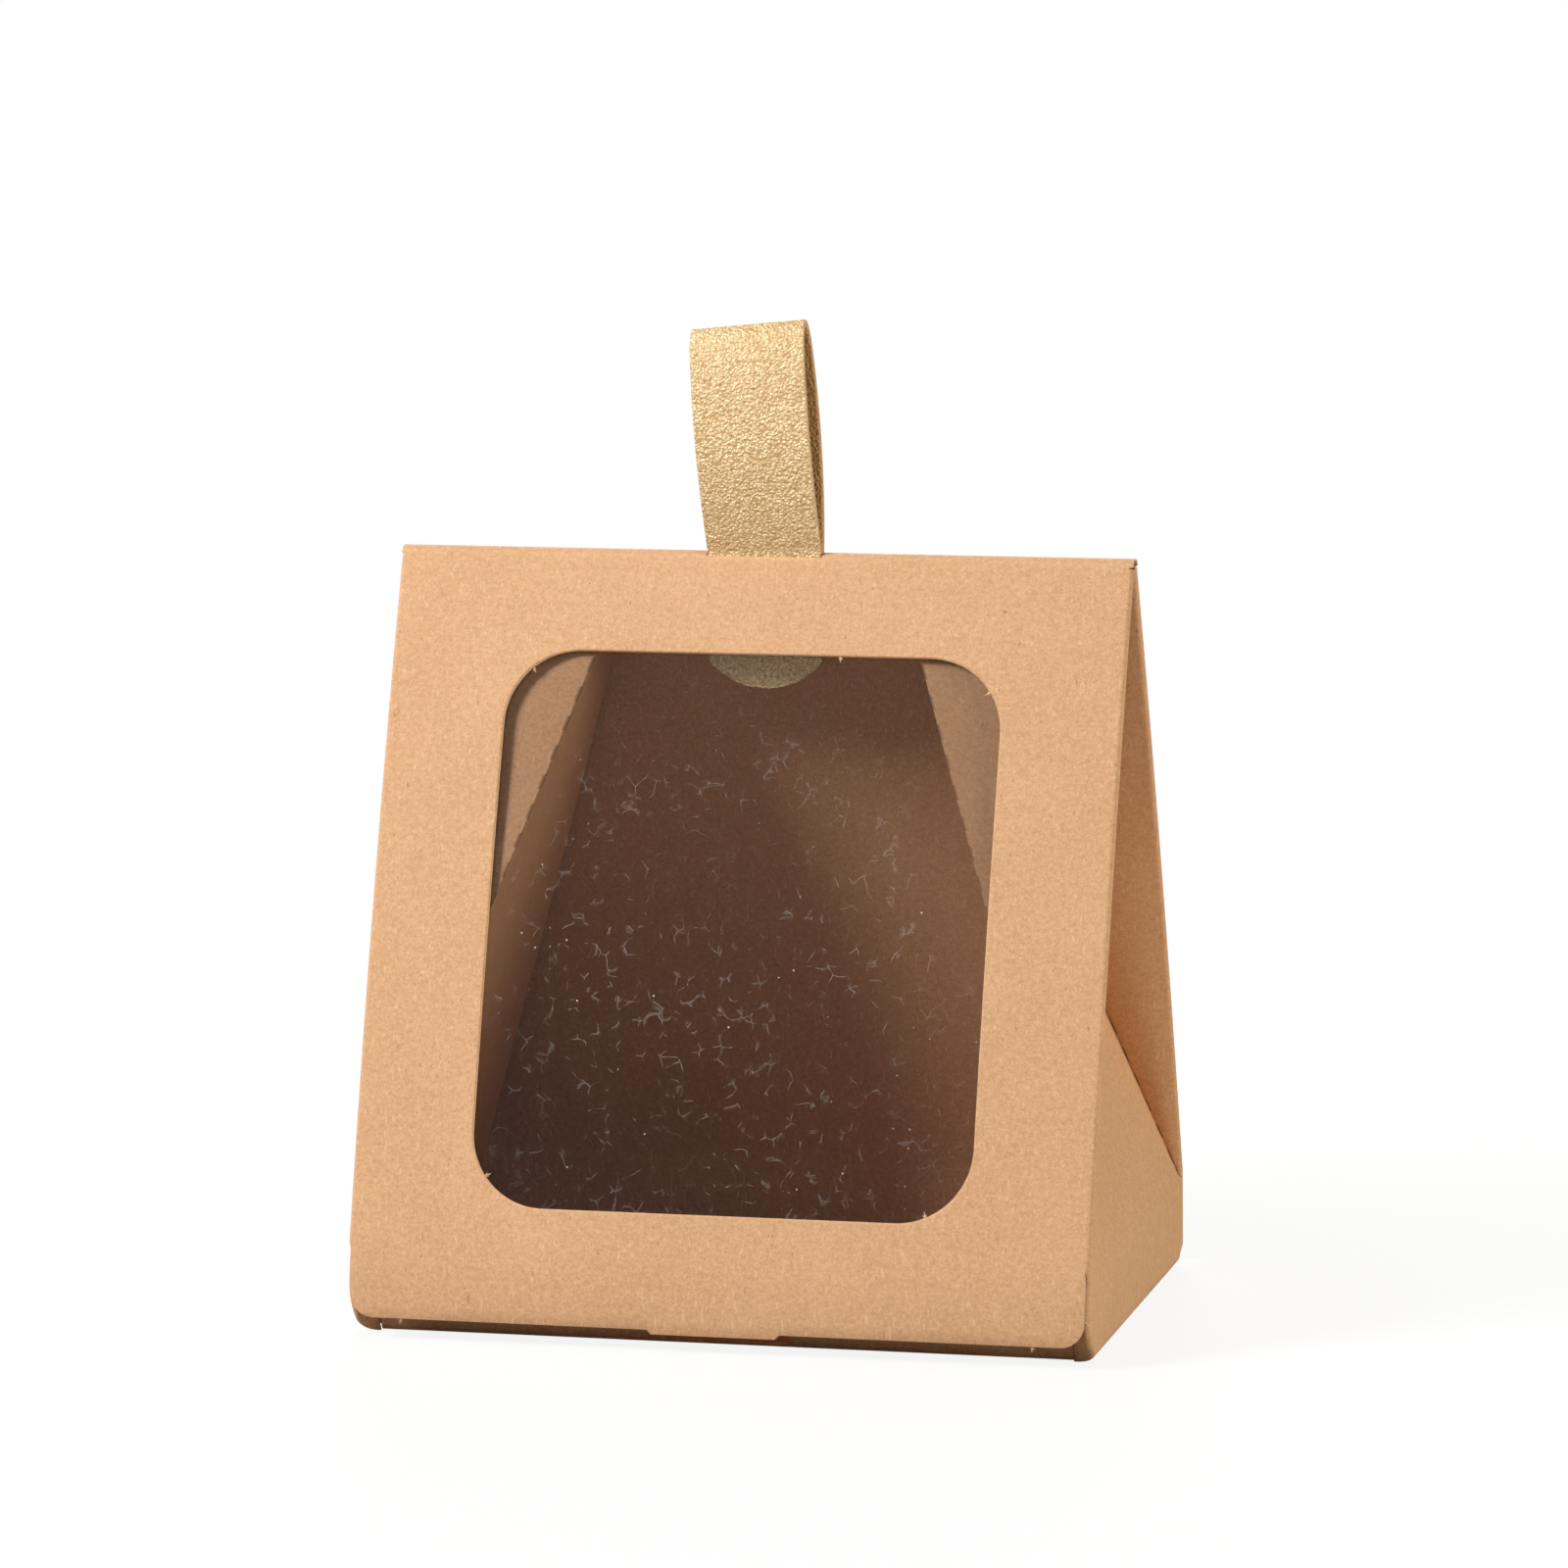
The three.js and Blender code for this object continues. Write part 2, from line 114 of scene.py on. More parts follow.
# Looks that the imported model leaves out
LOOP_TILT = 0.1                        # rise of the loop's top per length to the right
FRONT_CORNER_BOW = 0.7                 # how far the corner triangles bow away from the panels
BACK_CORNER_BOW = 1.2
NICK_WIDTH = 0.35
NICK_SINK = 0.1                        # how far a nick's root lies inside the board's edge

HALF_WIDTH = WIDTH / 2
HALF_DEPTH = DEPTH / 2
FOLD = BOARD + LAYER_GAP / 2           # outer radius of the doubled side edges
FOLD_X = HALF_WIDTH - FOLD             # where the flat of a panel ends at its side fold
INNER_FACE = 2 * FOLD                  # depth of the corner triangles' outward face
GUSSET_TOP_X = HALF_WIDTH - HALF_DEPTH
SHARP_ANGLE = math.radians(35)         # faces that meet at more than this keep a sharp edge
OFF_CREASE = 99.0                      # distance from a crease, where there is none


def arc(centre, radius, start, end):
    """A stretch of path: (length, function from distance along it to point and outward normal)."""
    turn = np.sign(end - start)

    def at(s):
        angle = start + turn * np.asarray(s) / radius
        normal = np.stack([np.cos(angle), np.sin(angle)], -1)
        return np.asarray(centre) + radius * normal, normal

    return radius * abs(end - start), at


def straight(start, end, outward):
    """A straight stretch, with one outward normal all along it."""
    start, end = np.asarray(start, float), np.asarray(end, float)
    length = float(np.hypot(*(end - start)))
    along = (end - start) / length
    normal = np.asarray(outward, float) / np.hypot(*outward)

    def at(s):
        s = np.asarray(s)
        return start + s[..., None] * along, np.broadcast_to(normal, s.shape + (2,))

    return length, at


def follow(stretches, s):
    """Points and normals at distances s along stretches that follow each other."""
    s = np.asarray(s, float)
    point, normal = np.zeros(s.shape + (2,)), np.zeros(s.shape + (2,))
    begin = 0.0
    for number, (length, at) in enumerate(stretches):
        last = number == len(stretches) - 1
        here = (s >= begin - 1e-9) & ((s <= begin + length + 1e-9) if last else (s < begin + length))
        p, n = at(s - begin)
        point = np.where(here[..., None], p, point)
        normal = np.where(here[..., None], n, normal)
        begin += length
    return point, normal


# Profile of the carton in (y, z). The front's outer face is a small round at the ridge, a wide arc
# that touches it and reaches the corner above the free edge, and a tighter arc on to the edge.
ridge = np.array([0.0, HEIGHT - RIDGE_RADIUS])
corner = np.array([-HALF_DEPTH, BAND_HEIGHT])
span = ridge - corner
chord = np.hypot(*span)
unit = span / chord
bow_along = (PANEL_BOW_RADIUS**2 - (PANEL_BOW_RADIUS - RIDGE_RADIUS)**2 + chord**2) / (2 * chord)
bow_across = math.sqrt(PANEL_BOW_RADIUS**2 - bow_along**2)
bow_centre = corner + unit * bow_along + np.array([unit[1], -unit[0]]) * bow_across
ridge_angle = math.atan2(*(ridge - bow_centre)[::-1]) % math.tau
corner_angle = math.atan2(*(corner - bow_centre)[::-1]) % math.tau
bend_centre = corner + (bow_centre - corner) * FREE_EDGE_BEND / PANEL_BOW_RADIUS


def edge_distance(height):
    """Distance down the front, past the corner, at which its outer face is at this height."""
    angle = math.pi - math.asin((height - bend_centre[1]) / FREE_EDGE_BEND)
    return FREE_EDGE_BEND * (angle - corner_angle)


RIDGE_RUN = RIDGE_RADIUS * (ridge_angle - math.pi / 2)
PANEL_RUN = PANEL_BOW_RADIUS * (corner_angle - ridge_angle)
CORNER_RUN = RIDGE_RUN + PANEL_RUN
EDGE_RUN = CORNER_RUN + edge_distance(FREE_EDGE_HEIGHT)

half_wrap = [
    arc(ridge, RIDGE_RADIUS, math.pi / 2, ridge_angle),
    arc(bow_centre, PANEL_BOW_RADIUS, ridge_angle, corner_angle),
]
front_path = half_wrap + [arc(bend_centre, FREE_EDGE_BEND, corner_angle, corner_angle + 1)]
back_foot = np.array([BACK_FOLD_RADIUS - HALF_DEPTH, BACK_FOLD_RADIUS])
back_path = half_wrap + [
    straight(corner, (-HALF_DEPTH, BACK_FOLD_RADIUS), (-1, 0)),
    arc(back_foot, BACK_FOLD_RADIUS, math.pi, 1.5 * math.pi),
]
BACK_RUN = sum(length for length, _ in back_path)


def front_face(x, s, depth=0.0):
    """Point of the front at x, distance s down from the ridge line, depth below its outer face."""
    point, normal = follow(front_path, s)
    flat = point - np.asarray(depth)[..., None] * normal
    return np.stack(np.broadcast_arrays(x, flat[..., 0], flat[..., 1]), -1)


def back_face(x, s, depth=0.0):
    """The same on the back, which is the front's mirror image down to the corner."""
    point, normal = follow(back_path, s)
    flat = point - np.asarray(depth)[..., None] * normal
    return np.stack(np.broadcast_arrays(x, -flat[..., 0], flat[..., 1]), -1)


class Sheet:
    """Collects grid patches of one surface, in millimetres, and merges them into one mesh."""

    def __init__(self):
        self.points, self.faces, self.values, self.count = [], [], {}, 0

    def patch(self, points, keep=None, ring=False, **values):
        """Adds a grid of rows by columns; keep says which cells stay, and ring closes each row."""
        rows, columns = points.shape[:2]
        index = np.arange(rows * columns).reshape(rows, columns) + self.count
        after = np.roll(index, -1, axis=1)
        width = columns if ring else columns - 1
        cells = np.stack([index[:-1], after[:-1], after[1:], index[1:]], -1)[:, :width]
        if keep is not None:
            cells = cells[keep]
        self.faces.append(cells.reshape(-1, 4))
        self.points.append(points.reshape(-1, 3))
        for name, value in values.items():
            table = self.values.setdefault(name, [])
            table.append((self.count, np.broadcast_to(value, points.shape[:2]).ravel()))
        self.count += rows * columns

    def build(self, name, outward, body, *nodes):
        """Makes the object. outward(centres) gives a direction that the normals must agree with."""
        points = np.concatenate(self.points) * MM
        mesh = bpy.data.meshes.new(name)
        mesh.from_pydata(points, [], np.concatenate(self.faces).tolist())
        for key, table in self.values.items():
            data = np.full(len(points), OFF_CREASE)
            for start, value in table:
                data[start:start + len(value)] = value
            mesh.attributes.new(key, "FLOAT", "POINT").data.foreach_set("value", data)
        work = bmesh.new()
        work.from_mesh(mesh)
        bmesh.ops.remove_doubles(work, verts=work.verts, dist=2e-6)
        loose = [v for v in work.verts if not v.link_faces]
        bmesh.ops.delete(work, geom=loose, context="VERTS")
        bmesh.ops.recalc_face_normals(work, faces=work.faces)
        agree = sum(f.normal.dot(outward(f.calc_center_median())) * f.calc_area() for f in work.faces)
        if agree < 0:
            bmesh.ops.reverse_faces(work, faces=work.faces)
        work.to_mesh(mesh)
        work.free()
        mesh.polygons.foreach_set("use_smooth", np.ones(len(mesh.polygons), bool))
        piece = bpy.data.objects.new(name, mesh)
        bpy.context.scene.collection.objects.link(piece)
        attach(piece, body)
        for node in nodes:
            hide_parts(node)
        return piece


def thicken(piece, thickness):
    """Solid wall inwards from the face that was modelled. Its cut edges take the second material,
    and its inner side the third. Weighted normals keep large flat faces flat beside small ones."""
    wall = piece.modifiers.new("board", "SOLIDIFY")
    wall.thickness = thickness * MM
    wall.offset = -1
    wall.use_rim = True
    wall.material_offset_rim = 1
    wall.material_offset = 2
    piece.modifiers.new("crisp", "WEIGHTED_NORMAL").keep_sharp = True
    piece.data.set_sharp_from_angle(angle=SHARP_ANGLE)


def spaced(*marks):
    """Values from mark to mark: marks alternate with the number of steps between them."""
    out = [np.array([marks[0]], float)]
    for start, steps, end in zip(marks[0:-2:2], marks[1:-1:2], marks[2::2]):
        out.append(np.linspace(start, end, steps + 1)[1:])
    return np.concatenate(out)


# Window outline on the front panel in (x, s), s counted down from the ridge line
WINDOW_HALF = HALF_WIDTH - WINDOW_SIDE_MARGIN
WINDOW_TOP = RIDGE_RUN + WINDOW_TOP_MARGIN
WINDOW_FOOT = CORNER_RUN - WINDOW_FOOT_MARGIN

slot_x = STRAP_WIDTH / 2 + SLOT_CLEARANCE
leg_middle = (STRAP_THICKNESS + STRAP_LEG_GAP) / 2
slot_y = leg_middle + STRAP_THICKNESS / 2 + SLOT_CLEARANCE
slot_run = RIDGE_RADIUS * math.asin(slot_y / RIDGE_RADIUS)

across = spaced(-FOLD_X, 14, -slot_x, 8, slot_x, 14, FOLD_X)
down = spaced(RIDGE_RUN, 40, CORNER_RUN)


def window_partner(x, s):
    """The point of the window's edge that faces a point of the panel's outline: level with it
    beside a straight side, and round the corner's quarter circle otherwise."""
    r = WINDOW_CORNER_RADIUS
    straight_x, top, foot = WINDOW_HALF - r, WINDOW_TOP + r, WINDOW_FOOT - r
    side = np.sign(x)
    on_side = np.abs(x) >= FOLD_X - 1.0
    upper = s < (top + foot) / 2
    share_side = np.where(upper, (s - RIDGE_RUN) / (top - RIDGE_RUN),
                          (EDGE_RUN - s) / (EDGE_RUN - foot))
    share_end = (FOLD_X - np.abs(x)) / (FOLD_X - straight_x)
    quarter = math.pi / 4
    angle = np.where(on_side, quarter * (1 - np.clip(share_side, 0, 1)),
                     quarter * (1 + np.clip(share_end, 0, 1)))
    round_x = side * (straight_x + r * np.cos(angle))
    round_s = np.where(upper, top - r * np.sin(angle), foot + r * np.sin(angle))
    level_x = np.where(on_side, side * WINDOW_HALF, x)
    level_s = np.where(on_side, s, np.where(upper, WINDOW_TOP, WINDOW_FOOT))
    level = np.where(on_side, (s > top) & (s < foot), np.abs(x) < straight_x)
    return np.where(level, level_x, round_x), np.where(level, level_s, round_s)


def front_outline():
    """The front panel's outline in (x, s), once round: down the right side with its fold, along the
    free edge with its round corners and centre tab, up the left side and back along the ridge."""
    free_x = HALF_WIDTH - FREE_EDGE_INSET
    r = FREE_CORNER_RADIUS
    turn = np.linspace(0, math.pi / 2, 7)
    free_s = spaced(CORNER_RUN, 5, EDGE_RUN - r)[1:-1]
    tab = TAB_WIDTH / 2
    edge_x = spaced(free_x - r, 16, tab + TAB_DROP)[1:]
    tab_x = spaced(tab, 8, -tab)
    right = [
        (np.full(down.shape, FOLD_X), down),
        (np.full(free_s.shape, free_x), free_s),
        (free_x - r + r * np.cos(turn), EDGE_RUN - r + r * np.sin(turn)),
        (edge_x, np.full(edge_x.shape, EDGE_RUN)),
    ]
    middle = [(tab_x, np.full(tab_x.shape, EDGE_RUN + TAB_DROP))]
    left = [(-x[::-1], s[::-1]) for x, s in reversed(right)]
    top = [(across[1:-1], np.full(len(across) - 2, RIDGE_RUN))]
    stretches = right + middle + left + top
    return np.concatenate([x for x, _ in stretches]), np.concatenate([s for _, s in stretches])


def gusset_x(z):
    """x of the gusset's crease at height z: straight from the ridge to the band's top corner."""
    return GUSSET_TOP_X + (FOLD_X - GUSSET_TOP_X) * (HEIGHT - z) / (HEIGHT - BAND_HEIGHT)


BAND_TOP = BAND_HEIGHT - BAND_TOP_DROP
BAND_FOOT = BACK_FOLD_RADIUS + CLEARANCE
RETURN_X = HALF_WIDTH - FLAP_SIDE_INSET + CLEARANCE / 3
band_z = spaced(BAND_TOP, 9, BAND_FOOT)
band_front = -HALF_DEPTH + FRONT_FOLD_INSET
band_back = HALF_DEPTH - BACK_FOLD_RADIUS - CLEARANCE


def band_edge(z):
    """y of the band's front edge: just behind the free edge of the front panel, and from BAND_TOE
    down a curve, by a power of the depth below it, back to the base's front fold."""
    angle = math.pi - np.arcsin((z - bend_centre[1]) / FREE_EDGE_BEND)
    behind = bend_centre[0] + (FREE_EDGE_BEND - BOARD - CLEARANCE) * np.cos(angle)
    low = np.clip((BAND_TOE - z) / BAND_TOE, 0, 1)
    return behind + (band_front - behind) * low**BAND_TOE_POWER


def add_front(sheet):
    """Front panel: straight lines from the window's edge (first row) to the panel's outline (last
    row), with closer rows along the edge."""
    x, s = front_outline()
    wx, ws = window_partner(x, s)
    share = spaced(0.0, 3, 0.06, 9, 1.0)[:, None]
    sheet.patch(front_face(wx + (x - wx) * share, ws + (s - ws) * share), ring=True)


def add_back(sheet):
    """Ridge and back panel: rows of x at distances down the back, and over the ridge to the front.
    Rows over the ridge are as wide as the box, and those at the foot's fold as wide as the flap."""
    over = spaced(-RIDGE_RUN, 2, -slot_run, 8, slot_run, 2, RIDGE_RUN)
    low = np.concatenate([CORNER_RUN + BAND_HEIGHT - band_z, spaced(
        CORNER_RUN + BAND_HEIGHT - BAND_FOOT + 0.15, 8, BACK_RUN)])
    rows = np.concatenate([over[:-1], down, low])
    half = np.full(rows.shape, FOLD_X)
    half[(rows > -RIDGE_RUN + 0.2) & (rows < RIDGE_RUN - 0.2)] = HALF_WIDTH
    half[rows > CORNER_RUN + BAND_HEIGHT - BAND_FOOT + 0.1] = HALF_WIDTH - FLAP_SIDE_INSET
    x = across[None, :] * half[:, None] / FOLD_X
    s = np.broadcast_to(rows[:, None], x.shape)
    points = np.where((s < 0)[..., None], front_face(x, np.abs(s)), back_face(x, np.abs(s)))
    mid_s = (rows[1:] + rows[:-1])[:, None] / 2
    mid_x = (across[1:] + across[:-1])[None, :] / 2
    slot = (np.abs(mid_s) < slot_run) & (np.abs(mid_x) < slot_x)
    sheet.patch(points, keep=~slot)


def add_end(sheet, side):
    """One gusseted end. Behind each panel: round the side fold by half a circle of radius FOLD,
    then to the crease in a shallow bow. Between the creases: straight across. Below: the band, its
    round foot and the dust flap."""
    turn = np.linspace(0, math.pi, 9)
    fold_x, fold_depth = FOLD_X + FOLD * np.sin(turn), FOLD * (1 - np.cos(turn))
    s = down[:, None]
    share = np.linspace(0, 1, 13)[1:]
    crease = front_face(np.zeros_like(down), down, np.full(down.shape, INNER_FACE))
    crease_x = gusset_x(crease[:, 2])
    flat_x = FOLD_X + (crease_x[:, None] - FOLD_X) * share
    x = np.concatenate([np.broadcast_to(fold_x, (len(down), len(turn))), flat_x], 1)
    depth = np.concatenate([fold_depth, np.full(share.shape, INNER_FACE)])[None, :]
    slant = np.hypot(crease_x - crease_x[0], crease[:, 2] - crease[0, 2])
    away = np.abs(x - crease_x[:, None])
    sag = np.concatenate([np.zeros(len(turn)), 4 * share * (1 - share)])[None, :]
    sag = sag * np.clip((FOLD_X - crease_x[:, None]) / 12, 0, 1)
    for face, bow in ((front_face, FRONT_CORNER_BOW), (back_face, BACK_CORNER_BOW)):
        points = face(side * x, np.broadcast_to(s, x.shape), depth + bow * sag)
        sheet.patch(points, crease=away, along=slant[:, None])

    low_x = np.full(band_z.shape, HALF_WIDTH)
    foot_turn = np.linspace(0, -math.pi / 2, 7)
    foot_centre = HALF_WIDTH - BAND_FOLD_RADIUS
    round_x = foot_centre + BAND_FOLD_RADIUS * np.cos(foot_turn)
    round_z = BAND_FOLD_RADIUS * (1 + np.sin(foot_turn))
    flap_x = np.array([HALF_WIDTH - FLAP_SIDE_INSET + CLEARANCE, DUST_FLAP_SHOULDER_X,
                       HALF_WIDTH - DUST_FLAP_LENGTH])
    flap_z = np.full(flap_x.shape, BOARD + CLEARANCE)
    taper = DUST_FLAP_TAPER * np.array([0.0, 0.2, 1.0])
    path_x = np.concatenate([crease_x, low_x, round_x, flap_x])
    path_z = np.concatenate([crease[:, 2], band_z, round_z, flap_z])
    front_y = np.concatenate([
        crease[:, 1], band_edge(band_z) + FOLD, band_edge(round_z) + FOLD,
        band_front + 2 * FRONT_FOLD_RADIUS + taper,
    ])
    back_y = np.concatenate([
        -crease[:, 1], np.full(band_z.shape, HALF_DEPTH - FOLD), np.full(round_x.shape, band_back),
        band_back - taper,
    ])
    c = np.concatenate([[0, 0.012], np.linspace(0.04, 0.96, 20), [0.988, 1]])
    y = front_y[:, None] + (back_y - front_y)[:, None] * c
    grid = np.stack(np.broadcast_arrays(side * path_x[:, None], y, path_z[:, None]), -1)
    reach = np.minimum(y - front_y[:, None], back_y[:, None] - y)
    gusset_row = np.arange(len(path_x)) < len(down)
    away = np.where(gusset_row[:, None], reach, OFF_CREASE)
    along = np.concatenate([slant, np.zeros(len(path_x) - len(down))])
    sheet.patch(grid, crease=away, along=along[:, None])

    # Band's upright folds: a quarter round at the back and at the front, and at the front a short
    # flange turned in beside the base flap's lip. Both join the panels' side folds at the band's
    # top, and a fan of faces closes the corner that is left between each pair of folds.
    quarter = np.linspace(0, math.pi / 2, 5)
    bulge, sink = FOLD * np.sin(quarter), FOLD * (1 - np.cos(quarter))
    top_back = back_face(side * (FOLD_X + bulge), np.full(5, CORNER_RUN), sink)
    back = np.stack(np.broadcast_arrays(
        side * (FOLD_X + bulge), HALF_DEPTH - sink, band_z[:, None]), -1)
    sheet.patch(np.concatenate([top_back[None], back]))
    edge_z = np.concatenate([band_z, round_z])
    edge_x = np.concatenate([low_x, round_x])[:, None]
    turned = np.linspace(0, 1, 4)[None, :-1]
    return_x = RETURN_X + (edge_x - FOLD - RETURN_X) * turned
    front_x = np.concatenate([return_x, edge_x - FOLD + bulge], 1)
    beside_lip = band_front - edge_z * math.tan(LIP_LEAN)
    turned_y = beside_lip[:, None] + (band_edge(edge_z) - beside_lip)[:, None] * turned
    y = np.concatenate([turned_y, band_edge(edge_z)[:, None] + sink], 1)
    sheet.patch(np.stack(np.broadcast_arrays(side * front_x, y, edge_z[:, None]), -1))
    top_front = front_face(side * (FOLD_X + bulge), np.full(5, CORNER_RUN), sink)
    first = np.stack([side * front_x[0, 3:], y[0, 3:], np.full(5, BAND_TOP)], -1)
    sheet.patch(np.stack([top_front, first]))
    for face, tip in ((front_face, band_edge(BAND_TOP) + FOLD), (back_face, HALF_DEPTH - FOLD)):
        rest = face(side * fold_x[4:], np.full(5, CORNER_RUN), fold_depth[4:])
        point = np.broadcast_to((side * HALF_WIDTH, tip, BAND_TOP), rest.shape)
        sheet.patch(np.stack([rest, point]))


def make_carton():
    """The folded sheet without its base flap."""
    sheet = Sheet()
    add_front(sheet)
    add_back(sheet)
    add_end(sheet, -1)
    add_end(sheet, 1)

    def outward(centre):
        """Away from the box on the front and back panels; no vote elsewhere."""
        slope = HALF_DEPTH / (HEIGHT - BAND_HEIGHT)
        panel = abs(centre.y) / MM > 0.9 * slope * (HEIGHT - centre.z / MM)
        return centre.__class__((0, math.copysign(1, centre.y) if panel else 0, 0))

    piece = sheet.build("folded_carton", outward, "carton", "carton_shell")
    thicken(piece, BOARD)
    return piece


def make_base_flap():
    """Base flap: rows along its path from the hinge forward, round the fold and up the lip."""
    hinge_end = HALF_DEPTH - BACK_FOLD_RADIUS - HINGE_GAP
    fold = np.array([band_front + FRONT_FOLD_RADIUS, FRONT_FOLD_RADIUS])
    path = [
        straight((hinge_end, 0), (fold[0], 0), (0, -1)),
        arc(fold, FRONT_FOLD_RADIUS, -math.pi / 2, -math.pi + LIP_LEAN),
    ]
    floor_run = path[0][0]
    fold_run = floor_run + path[1][0]
    start, normal = path[1][1](path[1][0])
    rise = np.array([normal[1], -normal[0]])
    rise = rise if rise[1] > 0 else -rise
    path.append(straight(start, start + rise * LIP_LENGTH, normal))
    lip_end = fold_run + LIP_LENGTH
    notch_low = fold_run - NOTCH_START
    notch_high = fold_run + (NOTCH_TOP - start[1]) / rise[1]
    rows = spaced(0, 14, floor_run, 4, notch_low, 1, fold_run, 5, notch_high, 6, lip_end)
    side = HALF_WIDTH - FLAP_SIDE_INSET
    notch_share = np.clip((rows - notch_low) / (notch_high - notch_low), 0, 1)
    notch_half = (NOTCH_WIDTH + (NOTCH_TOP_WIDTH - NOTCH_WIDTH) * notch_share) / 2
    r = LIP_CORNER_RADIUS
    lip_round = np.clip((rows - (lip_end - r)) / r, 0, 1)
    half = side - r * (1 - np.sqrt(1 - lip_round**2))
    half -= LIP_TAPER * np.clip((rows - fold_run) / LIP_LENGTH, 0, 1)
    side_columns, notch_columns = 15, 8
    x_right = notch_half[:, None] + (half - notch_half)[:, None] * np.linspace(0, 1, side_columns + 1)
    x_mid = notch_half[:, None] * np.linspace(-1, 1, notch_columns + 1)[1:-1]
    x = np.concatenate([-x_right[:, ::-1], x_mid, x_right], 1)
    point, _ = follow(path, rows)
    grid = np.stack(np.broadcast_arrays(x, point[:, None, 0], point[:, None, 1]), -1)
    mid_row = (rows[1:] + rows[:-1])[:, None] / 2
    column = np.arange(x.shape[1] - 1)[None, :] - side_columns
    notch = (mid_row > notch_low) & (mid_row < notch_high) & (column >= 0) & (column < notch_columns)
    sheet = Sheet()
    sheet.patch(grid, keep=~notch)

    def outward(centre):
        """Down on the floor part, forward on the lip."""
        low = centre.z < 0.2 * MM
        return centre.__class__((0, 0, -1) if low else (0, -1, 0))

    piece = sheet.build("base_flap_board", outward, "flap", "bottom_flap")
    thicken(piece, BOARD)
    return piece


def make_film():
    """Film: a grid on the front panel's curve, just behind the board and wider than the window."""
    air = (LAYER_GAP - FILM) / 2
    side = WINDOW_HALF + FILM_OVERLAP
    x = np.linspace(-side, side, 40)[None, :]
    s = np.linspace(WINDOW_TOP - FILM_OVERLAP, WINDOW_FOOT + FILM_OVERLAP, 40)[:, None]
    x, s = np.broadcast_arrays(x, s)
    sheet = Sheet()
    sheet.patch(front_face(x, s, np.full(x.shape, BOARD + air)))
    piece = sheet.build("clear_window_film", lambda c: c.__class__((0, -1, 0)), "carton", "window_film")
    thicken(piece, FILM)
    return piece


def make_nicks():
    """Torn nicks left by the cutting die: at each, three tapered blades in the panel's plane, whose
    half width falls in a straight line from NICK_WIDTH / 2 at the edge to nothing at the tip. Some
    are on the arcs of the window's corners, and the others on straight edges."""
    r = WINDOW_CORNER_RADIUS
    inner_x, top, foot = WINDOW_HALF - r, WINDOW_TOP + r, WINDOW_FOOT - r
    # (side, up or down, level of the corner's centre, angle on its arc)
    arcs = [(-1, -1, top, 0.85), (-1, 1, foot, 0.65), (1, 1, foot, 1.15), (1, -1, top, 0.6)]
    spots = [(sx * (inner_x + r * math.cos(a)), s0 + ss * r * math.sin(a),
              math.atan2(-ss * math.sin(a), -sx * math.cos(a))) for sx, ss, s0, a in arcs]
    # (x, distance down the panel, direction in which it points)
    spots += [(11.5, WINDOW_TOP, 1.4), (-42.5, EDGE_RUN, 1.7), (42.6, EDGE_RUN, 1.5),
              (HALF_WIDTH - FREE_EDGE_INSET, EDGE_RUN - 3.4, 0.5)]
    # (turn from that direction, length, depth below the panel's face) of each blade
    blades = [(-0.55, 0.7, 0.12), (0.05, 1.0, 0.2), (0.6, 0.6, 0.3)]
    u = np.linspace(0, 1, 5)[:, None]
    v = np.array([[-1.0, 0.0, 1.0]])
    sheet = Sheet()
    for x, s, heading in spots:
        for turn, length, depth in blades:
            along = np.array([math.cos(heading + turn), math.sin(heading + turn)])
            reach, half = length * u - NICK_SINK, NICK_WIDTH / 2 * (1 - u) * v
            sheet.patch(front_face(x + reach * along[0] - half * along[1],
                                   s + reach * along[1] + half * along[0],
                                   np.full((5, 3), depth)))
    piece = sheet.build("die_cut_nicks", lambda c: c.__class__((0, -1, 0)), "carton")
    thicken(piece, 0.1)
    return piece


def strap_path():
    """Middle line of the strap in (y, z) through the points of its legs and loop."""
    widest = (LOOP_SPREAD - STRAP_THICKNESS) / 2
    top = LOOP_HEIGHT - STRAP_THICKNESS / 2
    swell = [0.28, 0.7, 0.95, 1.0, 0.84, 0.46]
    level = [0.08, 0.24, 0.42, 0.58, 0.77, 0.93]
    leg_y = [leg_middle] * 4 + [leg_middle + (widest - leg_middle) * k for k in swell]
    leg_z = [-TAIL_LENGTH, -TAIL_LENGTH / 2, -RIDGE_RADIUS, 0] + [top * k for k in level]
    y = np.array([-v for v in leg_y] + [0] + leg_y[::-1])
    z = HEIGHT + np.array(leg_z + [top] + leg_z[::-1])
    return np.stack([y, z], 1)


def catmull_rom(points, per_span):
    """Smooth curve through the points: on each span the cubic whose slope at a point is half the
    step between its two neighbours, the end points being repeated."""
    p = np.concatenate([points[:1], points, points[-1:]])
    t = np.linspace(0, 1, per_span, endpoint=False)[None, :, None]
    a, b, c, d = (p[i:len(p) - 3 + i, None, :] for i in range(4))
    curve = 0.5 * (2 * b + (c - a) * t + (2 * a - 5 * b + 4 * c - d) * t**2
                   + (3 * b - a - 3 * c + d) * t**3)
    return np.concatenate([curve.reshape(-1, 2), points[-1:]])


